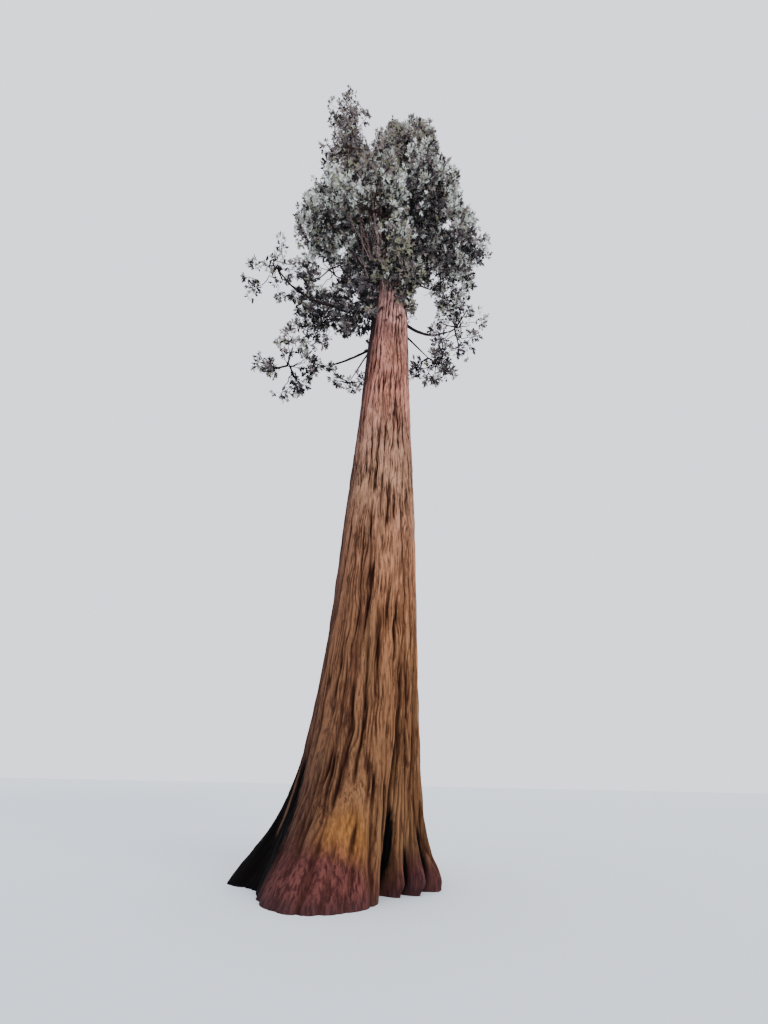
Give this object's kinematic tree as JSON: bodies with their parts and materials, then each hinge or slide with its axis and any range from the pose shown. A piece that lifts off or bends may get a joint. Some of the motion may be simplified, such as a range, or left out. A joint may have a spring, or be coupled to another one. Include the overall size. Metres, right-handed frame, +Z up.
{
  "type": "giant sequoia tree",
  "caption": "Tall conifer with a thick tapering red-barked trunk on a flared, charred foot, bare below, and a narrow crown of separate masses of scaly foliage on up-turned boughs",
  "frame": {"origin": "on the flat ground cut under the trunk, at the centre of the trunk there", "axes": "+Z up the tree, -Z out of the ground cut; the view of the picture looks along +Y with +X to its right"},
  "size_m": [9.0068, 7.6399, 39.9558],
  "materials": {
    "bark": "deeply furrowed, fibrous cinnamon-red bark, charred black low on one side",
    "bough_bark": "rough grey-brown bark",
    "foliage": "matt grey-green scale leaves with a light frost, some bronze and olive"
  },
  "bodies": {
    "root": {"trunk": "bark", "bough_back": "bough_bark", "bough_back_left": "bough_bark", "bough_back_right": "bough_bark", "bough_front": "bough_bark", "bough_front_left": "bough_bark", "bough_front_right": "bough_bark", "bough_high_back": "bough_bark", "bough_high_front": "bough_bark", "bough_high_left": "bough_bark", "bough_high_right": "bough_bark", "bough_left": "bough_bark", "bough_left_inner": "bough_bark", "bough_low_left": "bough_bark", "bough_low_right": "bough_bark", "bough_low_tuft": "bough_bark", "bough_right": "bough_bark", "bough_right_outer": "bough_bark", "bough_spire_low": "bough_bark", "bough_spire_top": "bough_bark", "bough_top_back_left": "bough_bark", "bough_top_back_right": "bough_bark", "bough_top_right": "bough_bark", "bough_upper_back": "bough_bark", "bough_upper_back_left": "bough_bark", "bough_upper_front": "bough_bark", "bough_upper_front_left": "bough_bark", "bough_upper_left": "bough_bark", "bough_upper_right": "bough_bark", "foliage_back": "foliage", "foliage_back_left": "foliage", "foliage_back_right": "foliage", "foliage_crown_left": "foliage", "foliage_crown_right": "foliage", "foliage_front": "foliage", "foliage_front_left": "foliage", "foliage_front_right": "foliage", "foliage_front_tuft": "foliage", "foliage_high_back": "foliage", "foliage_high_front": "foliage", "foliage_high_left": "foliage", "foliage_high_right": "foliage", "foliage_left": "foliage", "foliage_left_inner": "foliage", "foliage_low_left": "foliage", "foliage_low_right": "foliage", "foliage_low_tuft": "foliage", "foliage_right": "foliage", "foliage_right_outer": "foliage", "foliage_spire_low": "foliage", "foliage_spire_top": "foliage", "foliage_top_back_left": "foliage", "foliage_top_back_right": "foliage", "foliage_top_right": "foliage", "foliage_upper_back": "foliage", "foliage_upper_back_left": "foliage", "foliage_upper_front": "foliage", "foliage_upper_front_left": "foliage", "foliage_upper_left": "foliage", "foliage_upper_right": "foliage"}
  },
  "joints": []
}
